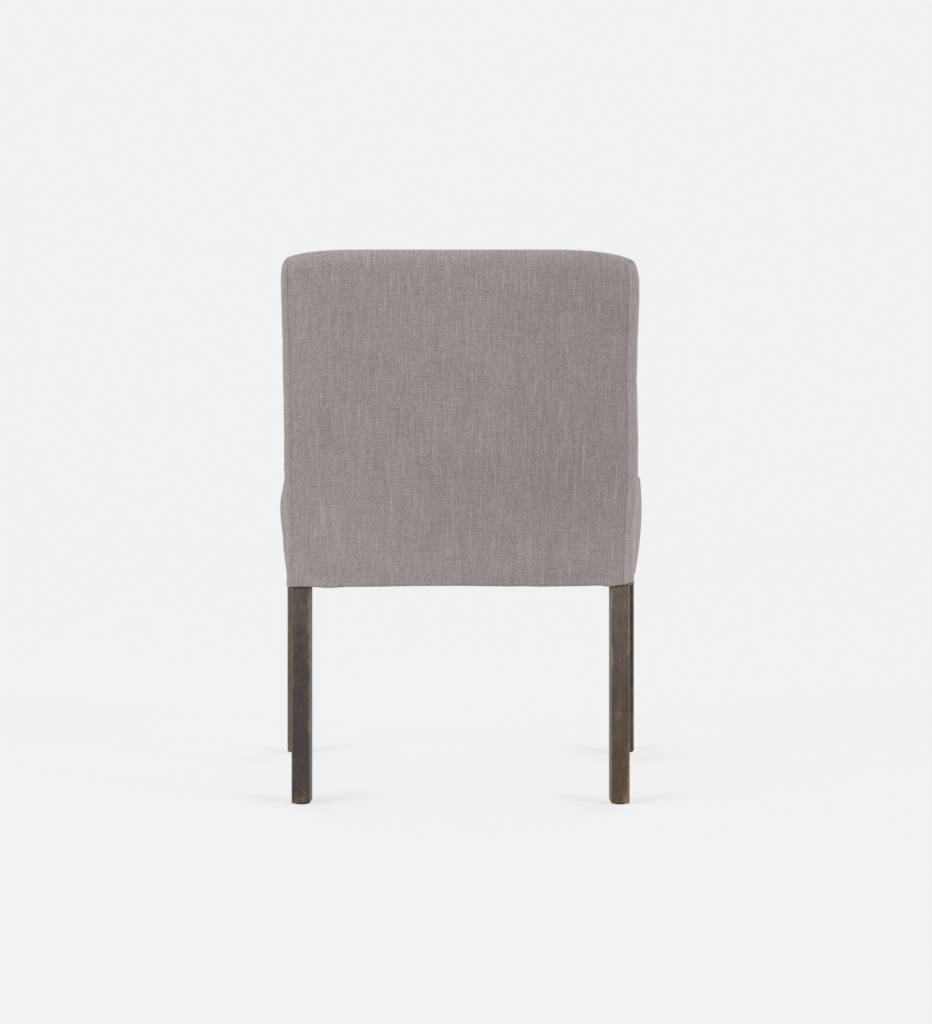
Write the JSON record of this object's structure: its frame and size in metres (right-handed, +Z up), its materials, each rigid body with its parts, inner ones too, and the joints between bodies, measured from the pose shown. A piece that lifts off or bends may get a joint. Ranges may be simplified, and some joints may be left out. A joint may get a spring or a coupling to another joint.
{
  "type": "parsons chair",
  "caption": "Armless upholstered parsons dining chair with a fully covered tight seat and leaning back on straight dark stained wooden legs.",
  "frame": {"origin": "on the floor, under the middle of the chair's outline box", "axes": "+Z up; the sitter faces -Y, so the back leans towards +Y; the sitter's left is +X"},
  "size_m": [0.6568, 0.5804, 0.822],
  "materials": {
    "cloth": "warm grey linen-look plain weave",
    "stained_wood": "dark stained hardwood, worn along the edges, satin",
    "frame_wood": "plain sawn hardwood, unfinished",
    "foam": "open-cell upholstery foam",
    "webbing": "elastic upholstery webbing",
    "deck_cloth": "plain hessian",
    "dust_cloth": "black non-woven cloth",
    "board": "thin brown fibreboard",
    "steel": "zinc-plated steel",
    "nylon": "dark brown nylon"
  },
  "bodies": {
    "root": {"back_cover": "cloth", "seat_cover": "cloth", "back_foam": "foam", "seat_foam": "foam", "rear_post_left": "stained_wood", "rear_post_right": "stained_wood", "front_leg_left": "stained_wood", "front_leg_right": "stained_wood", "front_rail": "frame_wood", "rear_rail": "frame_wood", "side_rail_left": "frame_wood", "side_rail_right": "frame_wood", "crest_rail": "frame_wood", "lower_back_rail": "frame_wood", "corner_block_front_left": "frame_wood", "corner_block_front_right": "frame_wood", "corner_block_rear_left": "frame_wood", "corner_block_rear_right": "frame_wood", "block_screw_front_left_cross": "steel", "block_screw_front_left_side": "steel", "block_screw_front_right_cross": "steel", "block_screw_front_right_side": "steel", "block_screw_rear_left_cross": "steel", "block_screw_rear_left_side": "steel", "block_screw_rear_right_cross": "steel", "block_screw_rear_right_side": "steel", "seat_strap_lengthwise_1": "webbing", "seat_strap_lengthwise_2": "webbing", "seat_strap_lengthwise_3": "webbing", "seat_strap_crosswise_1": "webbing", "seat_strap_crosswise_2": "webbing", "seat_strap_crosswise_3": "webbing", "back_strap_upright_1": "webbing", "back_strap_upright_2": "webbing", "back_strap_upright_3": "webbing", "back_strap_level_1": "webbing", "back_strap_level_2": "webbing", "seat_deck_cloth": "deck_cloth", "dust_cover": "dust_cloth", "outside_back_board": "board", "glide_front_left": "nylon", "glide_front_right": "nylon", "glide_rear_left": "nylon", "glide_rear_right": "nylon"}
  },
  "joints": []
}
